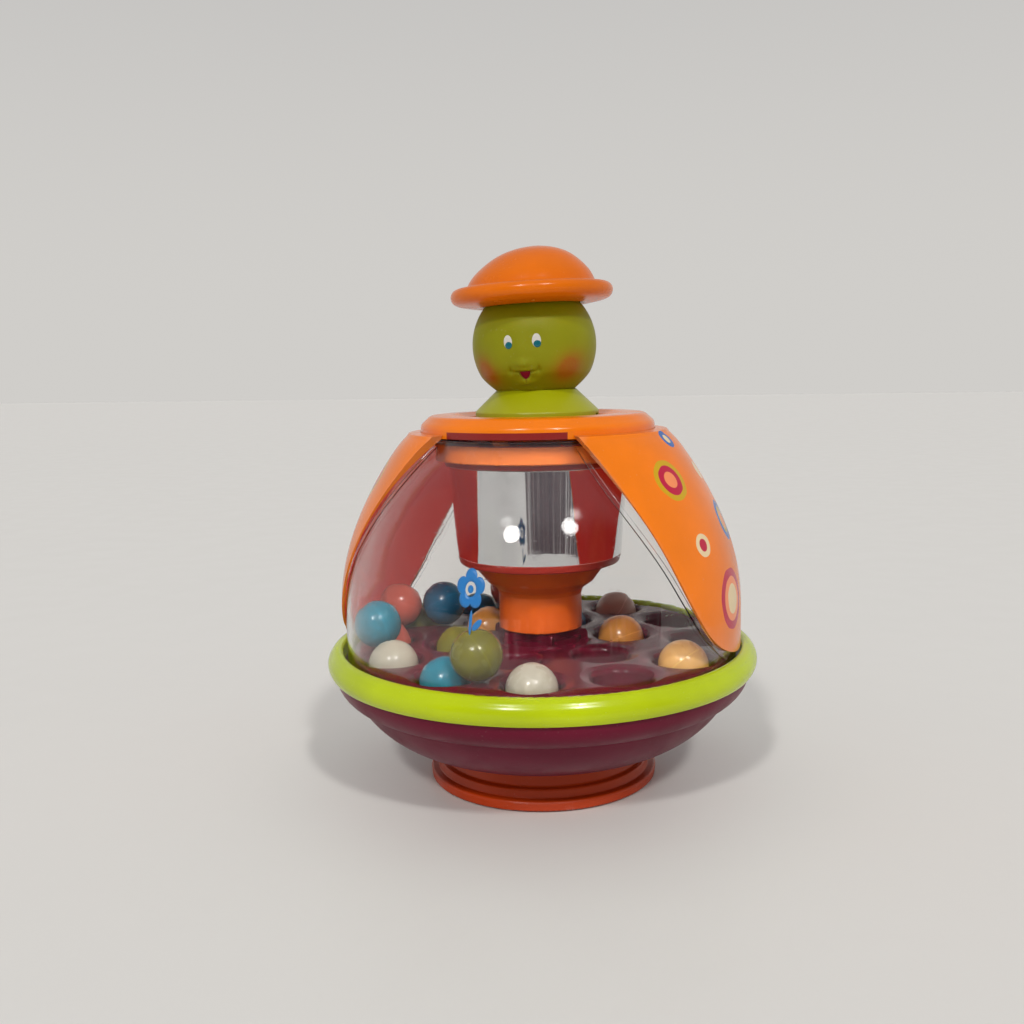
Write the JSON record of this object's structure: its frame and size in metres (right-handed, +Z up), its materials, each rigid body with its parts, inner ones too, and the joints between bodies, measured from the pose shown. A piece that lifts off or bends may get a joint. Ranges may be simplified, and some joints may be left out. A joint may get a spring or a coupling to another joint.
{
  "type": "spinning top",
  "caption": "Push-and-spin popper top: clear dome over a pocketed disc of loose balls, winged shell, mirror cup and a doll-head plunger on a round foot.",
  "frame": {"origin": "centre of the foot's underside, on the spin axis", "axes": "+Z up the spin axis, -Y the way the doll's face looks"},
  "size_m": [0.203, 0.203, 0.2496],
  "materials": {
    "foot_plastic": "semi-gloss moulded plastic",
    "grip_rubber": "matt rubber",
    "screw_steel": "zinc plated",
    "bowl_plastic": "semi-gloss moulded plastic",
    "rim_plastic": "gloss moulded plastic",
    "clear_dome": "clear polished plastic",
    "wing_plastic": "gloss moulded plastic with printed spots",
    "lining_red": "gloss red film",
    "collar_plastic": "gloss moulded plastic",
    "mirror_chrome": "vacuum metallised mirror",
    "funnel_plastic": "gloss moulded plastic",
    "sleeve_red": "gloss moulded plastic",
    "neck_vinyl": "satin vinyl",
    "inner_plastic": "natural acetal",
    "spring_steel": "bright spring wire",
    "head_vinyl": "matt soft vinyl",
    "hat_plastic": "gloss moulded plastic",
    "pin_steel": "ground steel",
    "rod_metal": "twisted drawn bar",
    "disc_plastic": "gloss moulded plastic",
    "bush_brass": "turned brass",
    "ball_white": "gloss ball with a fine seam",
    "ball_light_blue": "gloss ball with a fine seam",
    "ball_dark_blue": "gloss ball with a fine seam",
    "ball_coral": "gloss ball with a fine seam",
    "ball_olive": "gloss ball with a fine seam",
    "ball_orange": "gloss ball with a fine seam"
  },
  "bodies": {
    "base": {"foot_ring": "foot_plastic", "grip_ring": "grip_rubber", "foot_screws": "screw_steel", "lower_bowl": "bowl_plastic", "rim_ring": "rim_plastic", "dome": "clear_dome", "wing_left": "wing_plastic", "wing_right": "wing_plastic", "wing_lining_left": "lining_red", "wing_lining_right": "lining_red", "top_collar": "collar_plastic", "ceiling_ring": "collar_plastic", "collar_screws": "screw_steel", "mirror_cup": "mirror_chrome", "drive_funnel": "funnel_plastic", "guide_sleeve": "sleeve_red", "axle_pin": "pin_steel", "thrust_washer": "inner_plastic"},
    "plunger": {"neck_cone": "neck_vinyl", "stop_ring": "inner_plastic", "plunger_tube": "inner_plastic", "head_screw": "screw_steel", "drive_nut": "inner_plastic", "return_spring": "spring_steel", "head": "head_vinyl", "hat": "hat_plastic"},
    "spindle": {"twist_rod": "rod_metal", "pawl_carrier": "inner_plastic"},
    "rotor": {"popper_disc": "disc_plastic", "ratchet_ring": "inner_plastic", "bearing_plate": "disc_plastic", "plate_screws": "screw_steel", "disc_bush": "bush_brass", "ball_white_1": "ball_white", "ball_light_blue_1": "ball_light_blue", "ball_coral_1": "ball_coral", "ball_olive_1": "ball_olive", "ball_dark_blue_1": "ball_dark_blue"},
    "ball_white_2_loose": {"ball_white_2": "ball_white"},
    "ball_white_3_loose": {"ball_white_3": "ball_white"},
    "ball_light_blue_2_loose": {"ball_light_blue_2": "ball_light_blue"},
    "ball_light_blue_3_loose": {"ball_light_blue_3": "ball_light_blue"},
    "ball_dark_blue_2_loose": {"ball_dark_blue_2": "ball_dark_blue"},
    "ball_dark_blue_3_loose": {"ball_dark_blue_3": "ball_dark_blue"},
    "ball_coral_2_loose": {"ball_coral_2": "ball_coral"},
    "ball_coral_3_loose": {"ball_coral_3": "ball_coral"},
    "ball_olive_2_loose": {"ball_olive_2": "ball_olive"},
    "ball_olive_3_loose": {"ball_olive_3": "ball_olive"},
    "ball_orange_1_loose": {"ball_orange_1": "ball_orange"},
    "ball_orange_2_loose": {"ball_orange_2": "ball_orange"},
    "ball_orange_3_loose": {"ball_orange_3": "ball_orange"}
  },
  "joints": [
    {"name": "press", "type": "slide", "parent": "base", "child": "plunger", "axis": [0, 0, -1], "range_m": [0, 0.024], "stiffness_N_per_m": 350, "springref_m": -0.015, "deforming": ["return_spring"]},
    {"name": "spindle_twist", "type": "hinge", "parent": "base", "child": "spindle", "pos_m": [0, 0, 0.06], "axis": [0, 0, 1], "range_deg": [0, 240.5]},
    {"name": "disc_spin", "type": "hinge", "parent": "base", "child": "rotor", "pos_m": [0, 0, 0.05], "axis": [0, 0, 1], "continuous": true},
    {"name": "ball_white_2_hop", "type": "slide", "parent": "rotor", "child": "ball_white_2_loose", "axis": [0, 0, 1], "range_m": [0, 0.018]},
    {"name": "ball_white_3_hop", "type": "slide", "parent": "rotor", "child": "ball_white_3_loose", "axis": [0, 0, 1], "range_m": [0, 0.018]},
    {"name": "ball_light_blue_2_hop", "type": "slide", "parent": "rotor", "child": "ball_light_blue_2_loose", "axis": [0, 0, 1], "range_m": [0, 0.018]},
    {"name": "ball_light_blue_3_hop", "type": "slide", "parent": "rotor", "child": "ball_light_blue_3_loose", "axis": [0, 0, 1], "range_m": [0, 0.018]},
    {"name": "ball_dark_blue_2_hop", "type": "slide", "parent": "rotor", "child": "ball_dark_blue_2_loose", "axis": [0, 0, 1], "range_m": [0, 0.018]},
    {"name": "ball_dark_blue_3_hop", "type": "slide", "parent": "rotor", "child": "ball_dark_blue_3_loose", "axis": [0, 0, 1], "range_m": [0, 0.018]},
    {"name": "ball_coral_2_hop", "type": "slide", "parent": "rotor", "child": "ball_coral_2_loose", "axis": [0, 0, 1], "range_m": [0, 0.018]},
    {"name": "ball_coral_3_hop", "type": "slide", "parent": "rotor", "child": "ball_coral_3_loose", "axis": [0, 0, 1], "range_m": [0, 0.018]},
    {"name": "ball_olive_2_hop", "type": "slide", "parent": "rotor", "child": "ball_olive_2_loose", "axis": [0, 0, 1], "range_m": [0, 0.018]},
    {"name": "ball_olive_3_hop", "type": "slide", "parent": "rotor", "child": "ball_olive_3_loose", "axis": [0, 0, 1], "range_m": [0, 0.018]},
    {"name": "ball_orange_1_hop", "type": "slide", "parent": "rotor", "child": "ball_orange_1_loose", "axis": [0, 0, 1], "range_m": [0, 0.018]},
    {"name": "ball_orange_2_hop", "type": "slide", "parent": "rotor", "child": "ball_orange_2_loose", "axis": [0, 0, 1], "range_m": [0, 0.018]},
    {"name": "ball_orange_3_hop", "type": "slide", "parent": "rotor", "child": "ball_orange_3_loose", "axis": [0, 0, 1], "range_m": [0, 0.018]}
  ],
  "couplings": [
    {"joint": "spindle_twist", "follows": "press", "rad_per_m": 174.53}
  ]
}
